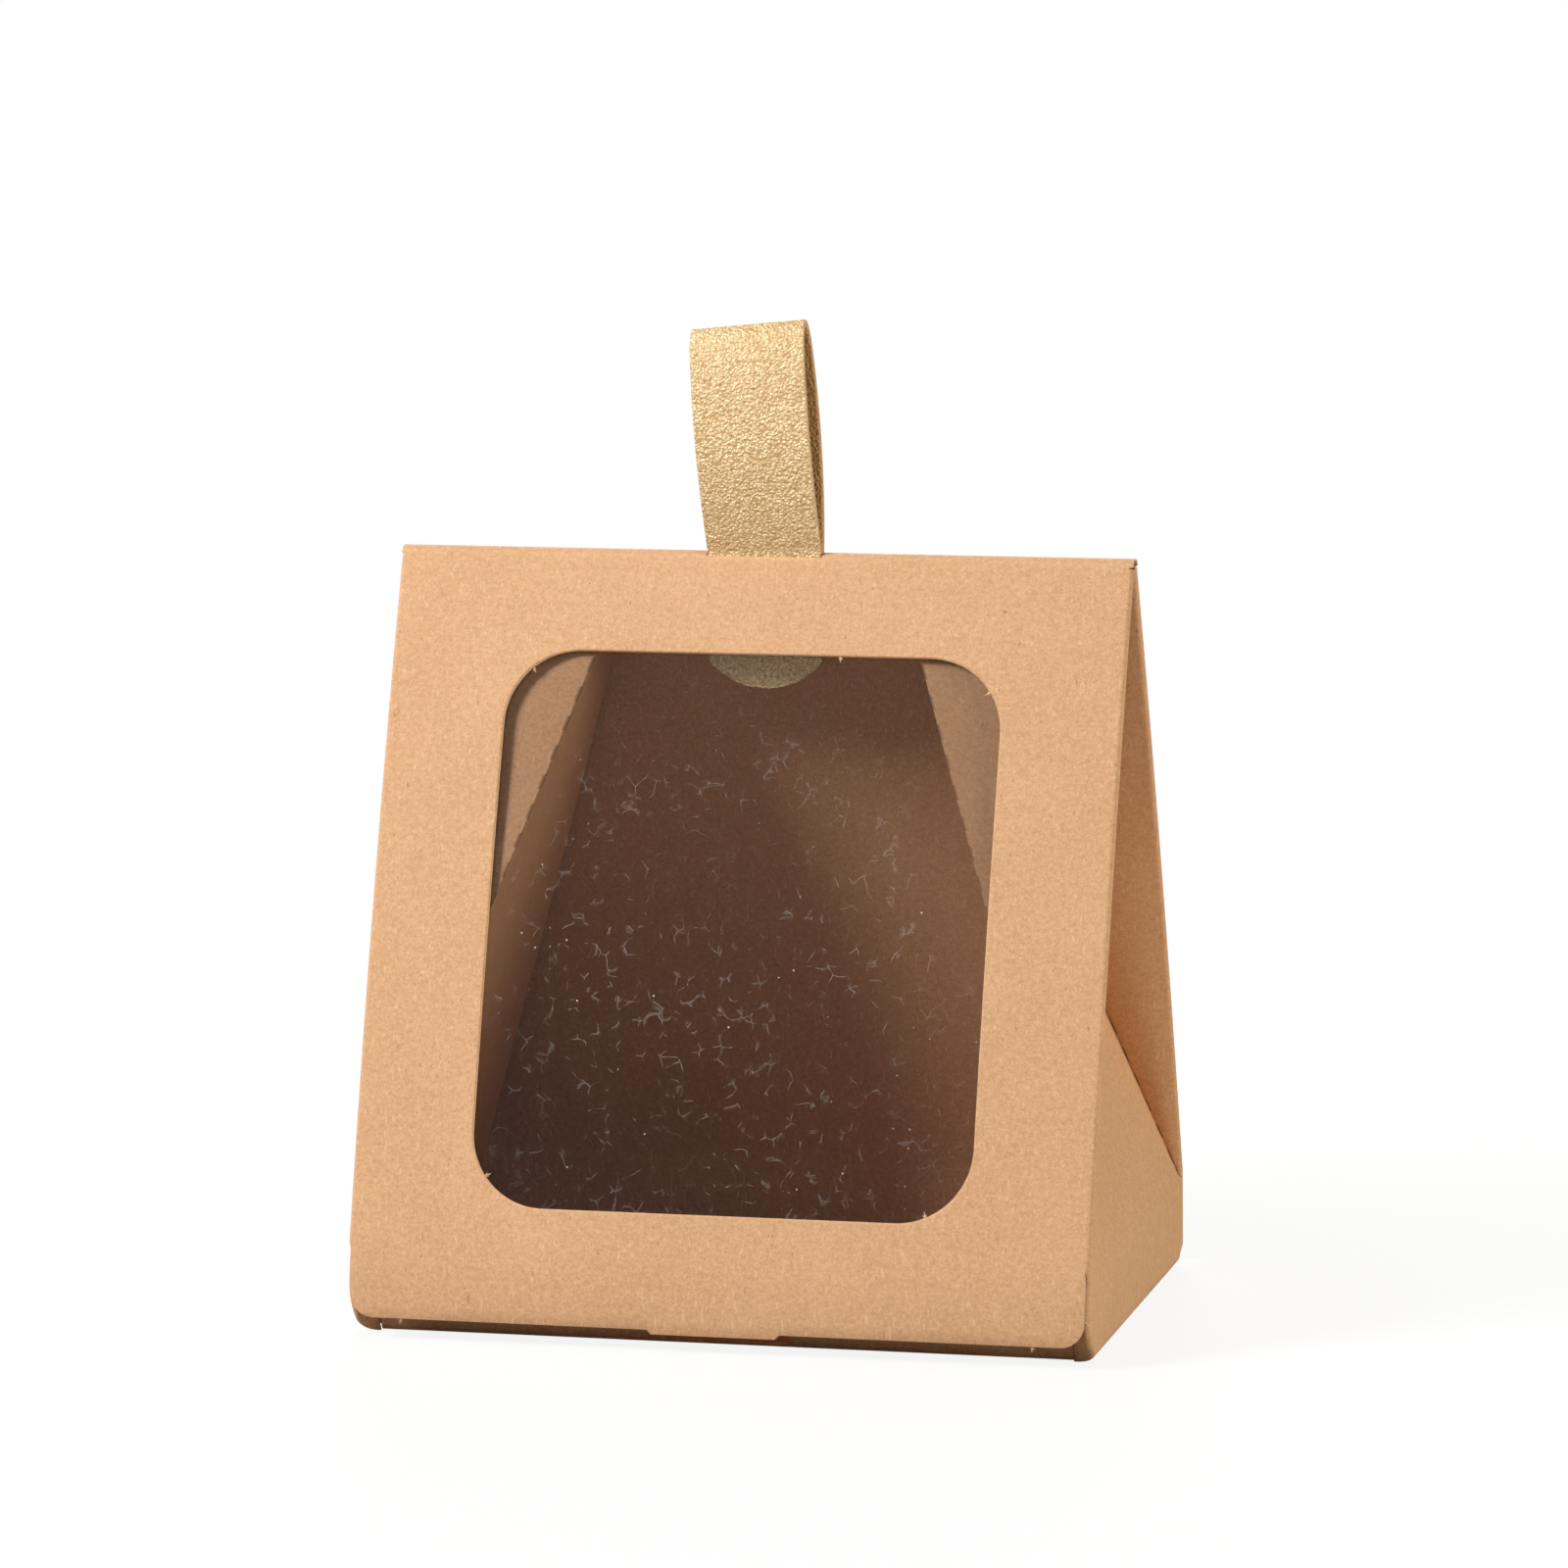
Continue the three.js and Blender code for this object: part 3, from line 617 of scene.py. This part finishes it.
def make_strap():
    """Strap: a rounded rectangular section carried along its middle line. Near each tail the half
    width is that of a circle of radius TAIL_END_RADIUS. Above the ridge x moves left by a power of
    the height, and z rises with x, as in a loop turned a little in its own plane."""
    line = catmull_rom(strap_path(), 14)
    step = np.hypot(*np.diff(line, axis=0).T)
    run = np.concatenate([[0], np.cumsum(step)])
    tip = spaced(0.0, 10, TAIL_END_RUN)
    middle = np.linspace(TAIL_END_RUN, run[-1] - TAIL_END_RUN, 150)[1:-1]
    even = np.concatenate([tip, middle, run[-1] - tip[::-1]])
    y, z = np.interp(even, run, line[:, 0]), np.interp(even, run, line[:, 1])
    tangent = np.stack([np.gradient(y, even), np.gradient(z, even)], 1)
    tangent /= np.hypot(*tangent.T)[:, None]
    normal = np.stack([-tangent[:, 1], tangent[:, 0]], 1)
    from_tip = np.minimum(even, run[-1] - even)
    r = TAIL_END_RADIUS
    half = np.sqrt(np.maximum(r**2 - np.maximum(r - from_tip, 0)**2, 0.0004))
    half = np.minimum(half, STRAP_WIDTH / 2)
    lift = np.clip((z - HEIGHT) / LOOP_HEIGHT, 0, 1)
    lean = -LOOP_LEAN * lift**LOOP_LEAN_POWER
    edge = STRAP_EDGE_RADIUS
    corner_turn = np.linspace(0, math.pi / 2, 4)
    flat = np.linspace(1, -1, 15)[1:-1]
    thick = STRAP_THICKNESS / 2
    # Section once round: (share of the half width, inset from it, height above the middle line)
    top_run = [(k, 0.0, thick) for k in flat]
    left = [(-1, edge * (1 - math.sin(a)), thick - edge * (1 - math.cos(a))) for a in corner_turn]
    right_low = [(-1, edge * (1 - math.cos(a)), -thick + edge * (1 - math.sin(a))) for a in corner_turn]
    bottom_run = [(-k, 0.0, -thick) for k in flat]
    right = [(1, edge * (1 - math.sin(a)), -thick + edge * (1 - math.cos(a))) for a in corner_turn]
    left_high = [(1, edge * (1 - math.cos(a)), thick - edge * (1 - math.sin(a))) for a in corner_turn]
    section = np.array(top_run + left + right_low + bottom_run + right + left_high)
    k, inset, high = section[:, 0], section[:, 1], section[:, 2]
    reach = np.maximum(half[:, None] - inset, 0.01)
    x = lean[:, None] + k * reach
    off = high[None, :, None] * normal[:, None, :]
    yz = np.stack([y, z], 1)[:, None, :] + off
    tilt = LOOP_TILT * np.clip(2 * lift, 0, 1)[:, None] * k * reach
    grid = np.stack([x, yz[..., 0], yz[..., 1] + tilt], -1)
    face = np.broadcast_to(high / thick, x.shape)
    sheet = Sheet()
    sheet.patch(grid, ring=True, face=face)
    piece = sheet.build("leatherette_strap", lambda c: c.__class__((0, 0, 0)), "carton", "handle_strap")
    close_ends(piece)
    return piece


def close_ends(piece):
    """Fills the two open ends and turns every face outwards."""
    work = bmesh.new()
    work.from_mesh(piece.data)
    bmesh.ops.holes_fill(work, edges=[e for e in work.edges if e.is_boundary])
    bmesh.ops.recalc_face_normals(work, faces=work.faces)
    work.to_mesh(piece.data)
    work.free()


class Nodes:
    """Short way to write shader nodes: each call adds one node and returns an output socket."""

    def __init__(self, tree):
        self.tree = tree

    def node(self, kind, inputs=(), **settings):
        node = self.tree.nodes.new(kind)
        for key, value in settings.items():
            setattr(node, key, value)
        for key, value in dict(inputs).items():
            if isinstance(value, bpy.types.NodeSocket):
                self.tree.links.new(value, node.inputs[key])
            else:
                node.inputs[key].default_value = value
        return node

    def maths(self, operation, a, b=0.0, clamp=False):
        node = self.node("ShaderNodeMath", {0: a, 1: b}, operation=operation, use_clamp=clamp)
        return node.outputs[0]

    def noise(self, vector, scale, detail=3.0, roughness=0.55):
        return self.node("ShaderNodeTexNoise", {
            "Vector": vector, "Scale": scale, "Detail": detail, "Roughness": roughness}).outputs[0]

    def stretch(self, vector, rotation, scale):
        return self.node("ShaderNodeMapping", {
            "Vector": vector, "Rotation": rotation, "Scale": scale}).outputs[0]

    def ramp(self, value, low, high):
        """0 at low, 1 at high, smoothly between."""
        node = self.node("ShaderNodeMapRange", {
            "Value": value, "From Min": low, "From Max": high}, interpolation_type="SMOOTHSTEP")
        return node.outputs[0]

    def mix(self, share, a, b):
        return self.node("ShaderNodeMix", {0: share, 6: a, 7: b}, data_type="RGBA").outputs[2]

    def attribute(self, name):
        return self.node("ShaderNodeAttribute", attribute_name=name).outputs["Fac"]


def group(name, inputs, outputs):
    """An empty node group with named sockets: (name, socket type, default)."""
    tree = bpy.data.node_groups.new(name, "ShaderNodeTree")
    for label, kind, default in inputs:
        socket = tree.interface.new_socket(label, in_out="INPUT", socket_type=kind)
        if default is not None:
            socket.default_value = default
    for label, kind in outputs:
        tree.interface.new_socket(label, in_out="OUTPUT", socket_type=kind)
    return tree, tree.nodes.new("NodeGroupInput"), tree.nodes.new("NodeGroupOutput")


def kraft_fibres():
    """Uncoated kraft board: cloudy tone, mottle, crossing fibres and small dark flecks."""
    tree, inside, out = group("kraft_fibres", [
        ("Vector", "NodeSocketVector", None),
        ("Light", "NodeSocketColor", (0.79, 0.49, 0.285, 1)),
        ("Dark", "NodeSocketColor", (0.60, 0.34, 0.175, 1)),
        ("Thread", "NodeSocketColor", (0.88, 0.60, 0.38, 1)),
        ("Fleck", "NodeSocketColor", (0.30, 0.16, 0.07, 1)),
    ], [("Color", "NodeSocketColor"), ("Roughness", "NodeSocketFloat"), ("Height", "NodeSocketFloat")])
    n = Nodes(tree)
    at = inside.outputs["Vector"]
    lying = n.stretch(at, (0, 0, 0), (0.75, 1, 1))
    cloud = n.noise(at, 60, 3)
    mottle = n.noise(lying, 1750, 4, 0.65)
    grain = n.noise(at, 3600, 2, 0.7)
    tone = n.maths("ADD", n.maths("MULTIPLY", cloud, 0.22),
                   n.maths("ADD", n.maths("MULTIPLY", mottle, 0.75), n.maths("MULTIPLY", grain, 0.7)))
    colour = n.mix(n.ramp(tone, 0.56, 1.1), inside.outputs["Dark"], inside.outputs["Light"])
    pale = []
    for turn in ((0, 1.45, 0), (0, 1.85, 0.1), (0, 1.05, -0.1), (1.5, 0.2, 0)):
        streak = n.noise(n.stretch(at, turn, (2100, 2100, 260)), 1, 1)
        pale.append(n.ramp(streak, 0.69, 0.76))
    threads = pale[0]
    for more in pale[1:]:
        threads = n.maths("MAXIMUM", threads, more)
    colour = n.mix(n.maths("MULTIPLY", threads, 0.5), colour, inside.outputs["Thread"])
    dark = []
    for turn in ((0, 1.3, 0.2), (0, 2.2, -0.1), (1.3, 0.4, 0)):
        streak = n.noise(n.stretch(at, turn, (1900, 1900, 420)), 1, 1)
        dark.append(n.ramp(streak, 0.76, 0.8))
    hairs = n.maths("MAXIMUM", n.maths("MAXIMUM", dark[0], dark[1]), dark[2])
    colour = n.mix(n.maths("MULTIPLY", hairs, 0.5), colour, inside.outputs["Fleck"])
    cell = n.node("ShaderNodeTexVoronoi", {"Vector": at, "Scale": 210.0})
    rare = n.ramp(n.node("ShaderNodeSeparateColor", {0: cell.outputs["Color"]}).outputs[0], 0.95, 0.98)
    spot = n.ramp(n.maths("ADD", cell.outputs["Distance"], n.maths("MULTIPLY", grain, 0.1)), 0.13, 0.07)
    colour = n.mix(n.maths("MULTIPLY", rare, spot), colour, inside.outputs["Fleck"])
    height = n.maths("ADD", n.maths("MULTIPLY", mottle, 0.5), n.maths("ADD", n.maths(
        "MULTIPLY", grain, 0.5), n.maths("MULTIPLY", threads, 0.25)))
    tree.links.new(colour, out.inputs["Color"])
    tree.links.new(n.node("ShaderNodeMapRange", {
        "Value": mottle, "To Min": 0.78, "To Max": 0.95}).outputs[0], out.inputs["Roughness"])
    tree.links.new(height, out.inputs["Height"])
    return tree


def new_material(name):
    material = bpy.data.materials.new(name)
    material.use_nodes = True
    tree = material.node_tree
    return material, Nodes(tree), tree.nodes["Principled BSDF"]


def feed(nodes, shader, sockets):
    """Links or sets the Principled BSDF's sockets."""
    for name, value in sockets.items():
        if isinstance(value, bpy.types.NodeSocket):
            nodes.tree.links.new(value, shader.inputs[name])
        else:
            shader.inputs[name].default_value = value


def bump(nodes, height, strength, distance):
    return nodes.node("ShaderNodeBump", {
        "Height": height, "Strength": strength, "Distance": distance}).outputs[0]


def kraft_board(fibres, name="kraft_board", creases=True, tones=None):
    """A face of the board, with the perforated creases of the gussets where it has them."""
    material, n, shader = new_material(name)
    at = n.node("ShaderNodeTexCoord").outputs["Object"]
    board = n.node("ShaderNodeGroup", {}, node_tree=fibres)
    n.tree.links.new(at, board.inputs["Vector"])
    for label, tone in (tones or {}).items():
        board.inputs[label].default_value = tone
    colour, height = board.outputs["Color"], board.outputs["Height"]
    if creases:
        near = n.attribute("crease")
        dash = n.maths("PINGPONG", n.attribute("along"), 2.0)
        cut = n.maths("MULTIPLY", n.ramp(near, 0.26, 0.12), n.ramp(dash, 0.95, 1.05))
        colour = n.mix(n.maths("MULTIPLY", cut, 0.6), colour, (0.2, 0.09, 0.04, 1))
        height = n.maths("SUBTRACT", height, n.maths("MULTIPLY", cut, 3.0))
    feed(n, shader, {
        "Base Color": colour,
        "Roughness": board.outputs["Roughness"],
        "Specular IOR Level": 0.25,
        "Normal": bump(n, height, 0.35, 0.00012),
    })
    return material


def board_edge():
    """Cut edge of the board: paler, with fine grain and torn fibre."""
    material, n, shader = new_material("board_edge")
    at = n.node("ShaderNodeTexCoord").outputs["Object"]
    fine = n.noise(at, 3200, 3, 0.7)
    tuft = n.noise(at, 700, 2, 0.6)
    colour = n.mix(n.ramp(fine, 0.3, 0.7), (0.60, 0.37, 0.21, 1), (0.86, 0.62, 0.42, 1))
    feed(n, shader, {
        "Base Color": colour,
        "Roughness": 0.9,
        "Specular IOR Level": 0.2,
        "Normal": bump(n, n.maths("ADD", fine, tuft), 0.5, 0.0001),
    })
    return material


def clear_film():
    """Thin clear film: mostly see-through, mirror-like by its Fresnel share, with dust specks and
    curled hairs, which are the thin borders of a warped cell pattern kept here and there."""
    material, n, shader = new_material("clear_film")
    at = n.node("ShaderNodeTexCoord").outputs["Object"]
    cell = n.node("ShaderNodeTexVoronoi", {"Vector": at, "Scale": 480.0})
    chosen = n.node("ShaderNodeSeparateColor", {0: cell.outputs["Color"]}).outputs[0]
    speck = n.maths("MULTIPLY", n.ramp(chosen, 0.72, 0.9), n.ramp(cell.outputs["Distance"], 0.085, 0.04))
    warp = n.node("ShaderNodeTexNoise", {"Vector": at, "Scale": 330.0, "Detail": 1.0}).outputs["Color"]
    curled = n.node("ShaderNodeVectorMath", {0: warp, 1: (0.0018, 0.0018, 0.0018), 2: at},
                    operation="MULTIPLY_ADD").outputs[0]
    border = n.node("ShaderNodeTexVoronoi", {"Vector": curled, "Scale": 420.0},
                    feature="DISTANCE_TO_EDGE").outputs["Distance"]
    here = n.ramp(n.noise(at, 520, 2, 0.5), 0.53, 0.6)
    hair = n.maths("MULTIPLY", n.ramp(border, 0.03, 0.01), here)
    middle = n.node("ShaderNodeMapping", {"Vector": at, "Location": (0, 0, -0.045), "Scale": (1, 0, 1)})
    from_middle = n.node("ShaderNodeVectorMath", {0: middle.outputs[0]}, operation="LENGTH")
    crowd = n.maths("MULTIPLY", n.ramp(n.noise(at, 45, 2), 0.28, 0.5), n.ramp(
        from_middle.outputs["Value"], 0.055, 0.02))
    dirt = n.maths("MULTIPLY", n.maths("MAXIMUM", speck, n.maths("MULTIPLY", hair, 0.38)), crowd)
    facing = n.node("ShaderNodeLayerWeight", {"Blend": 0.2}).outputs["Fresnel"]
    haze = n.maths("MULTIPLY", n.noise(at, 40, 3), 0.008)
    # The steady 0.09 share of the near-black sheen colour dims everything behind the window. This is
    # painted shade, on top of the Fresnel reflection.
    alpha = n.maths("ADD", n.maths("MULTIPLY", facing, 0.4), n.maths("ADD", haze, n.maths(
        "ADD", 0.09, n.maths("MULTIPLY", dirt, 0.4))), clamp=True)
    sheen = n.mix(n.ramp(facing, 0.02, 0.4), (0.10, 0.09, 0.085, 1), (0.9, 0.88, 0.86, 1))
    feed(n, shader, {
        "Base Color": n.mix(dirt, sheen, (1, 0.9, 0.8, 1)),
        "Metallic": 1.0,
        "Roughness": n.maths("ADD", 0.1, n.maths("MULTIPLY", dirt, 0.5)),
        "Alpha": alpha,
    })
    return material


def metallic_leatherette():
    """Pale gold leatherette: fine pebbles with painted highlights on their tops, painted shade between
    them and painted glints on some, and a plain brown back and edge.
    """
    material, n, shader = new_material("metallic_leatherette")
    at = n.node("ShaderNodeTexCoord").outputs["Object"]
    pebble = n.node("ShaderNodeTexVoronoi", {"Vector": at, "Scale": 2800.0}, feature="SMOOTH_F1")
    small = n.noise(at, 4300, 2, 0.6)
    large = n.noise(at, 420, 2, 0.6)
    dome = n.maths("SUBTRACT", 1.0, pebble.outputs["Distance"])
    height = n.maths("ADD", n.maths("MULTIPLY", dome, 0.9), n.maths("MULTIPLY", small, 0.5))
    glint = n.node("ShaderNodeSeparateColor", {0: pebble.outputs["Color"]}).outputs[1]
    # The colour is paler on each pebble's top and on chosen cells, and darker between pebbles: painted
    # highlight, glints and shade, plus random tone from the large noise.
    painted_highlight_and_tone = n.ramp(n.maths("ADD", n.maths("MULTIPLY", dome, 0.6), n.maths(
        "ADD", n.maths("MULTIPLY", glint, 0.25), n.maths("MULTIPLY", large, 0.2))), 0.3, 1.0)
    gold = n.mix(painted_highlight_and_tone, (0.52, 0.34, 0.155, 1), (0.86, 0.67, 0.42, 1))
    outside = n.ramp(n.attribute("face"), 0.3, 0.8)
    feed(n, shader, {
        "Base Color": n.mix(outside, (0.56, 0.33, 0.13, 1), gold),
        "Metallic": n.maths("MULTIPLY", outside, 0.55),
        "Roughness": n.maths("SUBTRACT", 0.6, n.maths("MULTIPLY", painted_highlight_and_tone, 0.22)),
        "Normal": bump(n, height, 0.9, 0.00032),
    })
    return material


carton = make_carton()
flap = make_base_flap()
film = make_film()
nicks = make_nicks()
strap = make_strap()

fibres = kraft_fibres()
kraft, edge, flap_kraft, clear = (
    kraft_board(fibres), board_edge(), kraft_board(fibres, "kraft_flap", creases=False), clear_film())
# Inner face of the board: the same fibres in darker tones, as painted shade for the dim inside of the
# box and the corner triangles seen through the window.
inside_painted_shade = kraft_board(fibres, "kraft_inside_painted_shade", tones={
    "Light": (0.68, 0.40, 0.22, 1), "Dark": (0.51, 0.275, 0.135, 1),
    "Thread": (0.76, 0.50, 0.30, 1), "Fleck": (0.25, 0.13, 0.06, 1)})
for piece, materials, slot in (
    (carton, (kraft, edge, inside_painted_shade), "kraft_board"),
    (flap, (flap_kraft, edge, inside_painted_shade), "kraft_board"),
    (nicks, (edge, edge, edge), "kraft_board"),
    (film, (clear, clear, clear), "clear_film"),
    (strap, (metallic_leatherette(),), "metallic_leatherette"),
):
    for material in materials:
        piece.data.materials.append(material)


def area_light(name, place, aim, size, power, colour):
    """A round lamp of this size at a place, turned to its aim, both in metres."""
    data = bpy.data.lights.new(name, "AREA")
    data.shape, data.size, data.energy, data.color = "DISK", size, power, colour
    lamp = bpy.data.objects.new(name, data)
    place, aim = np.array(place), np.array(aim)
    back = (place - aim) / np.linalg.norm(place - aim)
    right = np.cross((0, 0, 1), back)
    right /= np.linalg.norm(right)
    lamp.matrix_world = pose(place, right, np.cross(back, right), back)
    bpy.context.scene.collection.objects.link(lamp)


def pose(place, right, up, back):
    """Matrix of an object at a place with these directions as its own x, y and z."""
    matrix = Matrix.Identity(4)
    for column, axis in enumerate((right, up, back, place)):
        for row in range(3):
            matrix[row][column] = axis[row]
    return matrix


def studio():
    """Pale floor under a white world. The camera, glossy and transmission rays see both as white,
    apart from the object's soft shadow."""
    bpy.ops.mesh.primitive_plane_add(size=6)
    floor = bpy.context.object
    floor.name = "floor"
    material, n, shader = new_material("pale_floor")
    ray = n.node("ShaderNodeLightPath").outputs
    seen = n.maths("MAXIMUM", ray["Is Camera Ray"], n.maths(
        "MAXIMUM", ray["Is Glossy Ray"], ray["Is Transmission Ray"]))
    feed(n, shader, {
        "Base Color": n.mix(seen, (0.34, 0.29, 0.25, 1), (0.95, 0.95, 0.95, 1)), "Roughness": 0.9})
    glow = n.node("ShaderNodeEmission", {"Color": (1, 1, 1, 1), "Strength": 1.0}).outputs[0]
    far = n.node("ShaderNodeVectorMath", {0: n.node("ShaderNodeTexCoord").outputs["Object"]},
                 operation="LENGTH").outputs["Value"]
    share = n.node("ShaderNodeMapRange", {
        "Value": far, "From Min": 0.08, "From Max": 0.22, "To Min": 0.88, "To Max": 1.0}).outputs[0]
    mixed = n.node("ShaderNodeMixShader", {
        0: n.maths("MULTIPLY", seen, share), 1: shader.outputs[0], 2: glow}).outputs[0]
    n.tree.links.new(mixed, n.tree.nodes["Material Output"].inputs["Surface"])
    floor.data.materials.append(material)
    world = bpy.data.worlds.new("studio")
    bpy.context.scene.world = world
    world.use_nodes = True
    w = Nodes(world.node_tree)
    ray = w.node("ShaderNodeLightPath").outputs
    seen = w.maths("MAXIMUM", ray["Is Camera Ray"], w.maths(
        "MAXIMUM", ray["Is Glossy Ray"], ray["Is Transmission Ray"]))
    background = world.node_tree.nodes["Background"]
    colour = w.mix(seen, (0.05, 0.049, 0.047, 1), (1, 1, 1, 1))
    world.node_tree.links.new(colour, background.inputs["Color"])
    area_light("key", (-0.60, -0.45, 0.58), (0, 0, 0.05), 0.3, 9.2, (1, 0.985, 0.98))
    area_light("back", (-0.15, 0.95, 0.6), (0, 0, 0.05), 0.5, 7.0, (1, 0.98, 0.95))
    area_light("fill", (0.95, -0.25, 0.4), (0, 0, 0.05), 0.5, 6.4, (1, 0.94, 0.80))


# Camera, from the photograph's creases and edges
CAMERA_AZIMUTH = math.radians(13.873)
CAMERA_ELEVATION = math.radians(9.122)
CAMERA_ROLL = math.radians(-0.667)
CAMERA_DISTANCE = 1015.8
CAMERA_AIM = (2.105, 0.0, 70.368)
CAMERA_LENS = 174.74


def camera():
    """Camera at CAMERA_DISTANCE from its aim, in the direction of azimuth and elevation."""
    az, el, roll = CAMERA_AZIMUTH, CAMERA_ELEVATION, CAMERA_ROLL
    back = np.array([math.sin(az) * math.cos(el), -math.cos(az) * math.cos(el), math.sin(el)])
    level = np.cross((0, 0, 1), back)
    level /= np.linalg.norm(level)
    upright = np.cross(back, level)
    right = math.cos(roll) * level + math.sin(roll) * upright
    up = math.cos(roll) * upright - math.sin(roll) * level
    data = bpy.data.cameras.new("camera")
    data.sensor_width, data.lens, data.clip_start = 36, CAMERA_LENS, 0.01
    eye = bpy.data.objects.new("camera", data)
    eye.matrix_world = pose((np.array(CAMERA_AIM) + back * CAMERA_DISTANCE) * MM, right, up, back)
    bpy.context.scene.collection.objects.link(eye)
    bpy.context.scene.camera = eye


studio()
camera()
bpy.context.scene.view_settings.view_transform = "Standard"
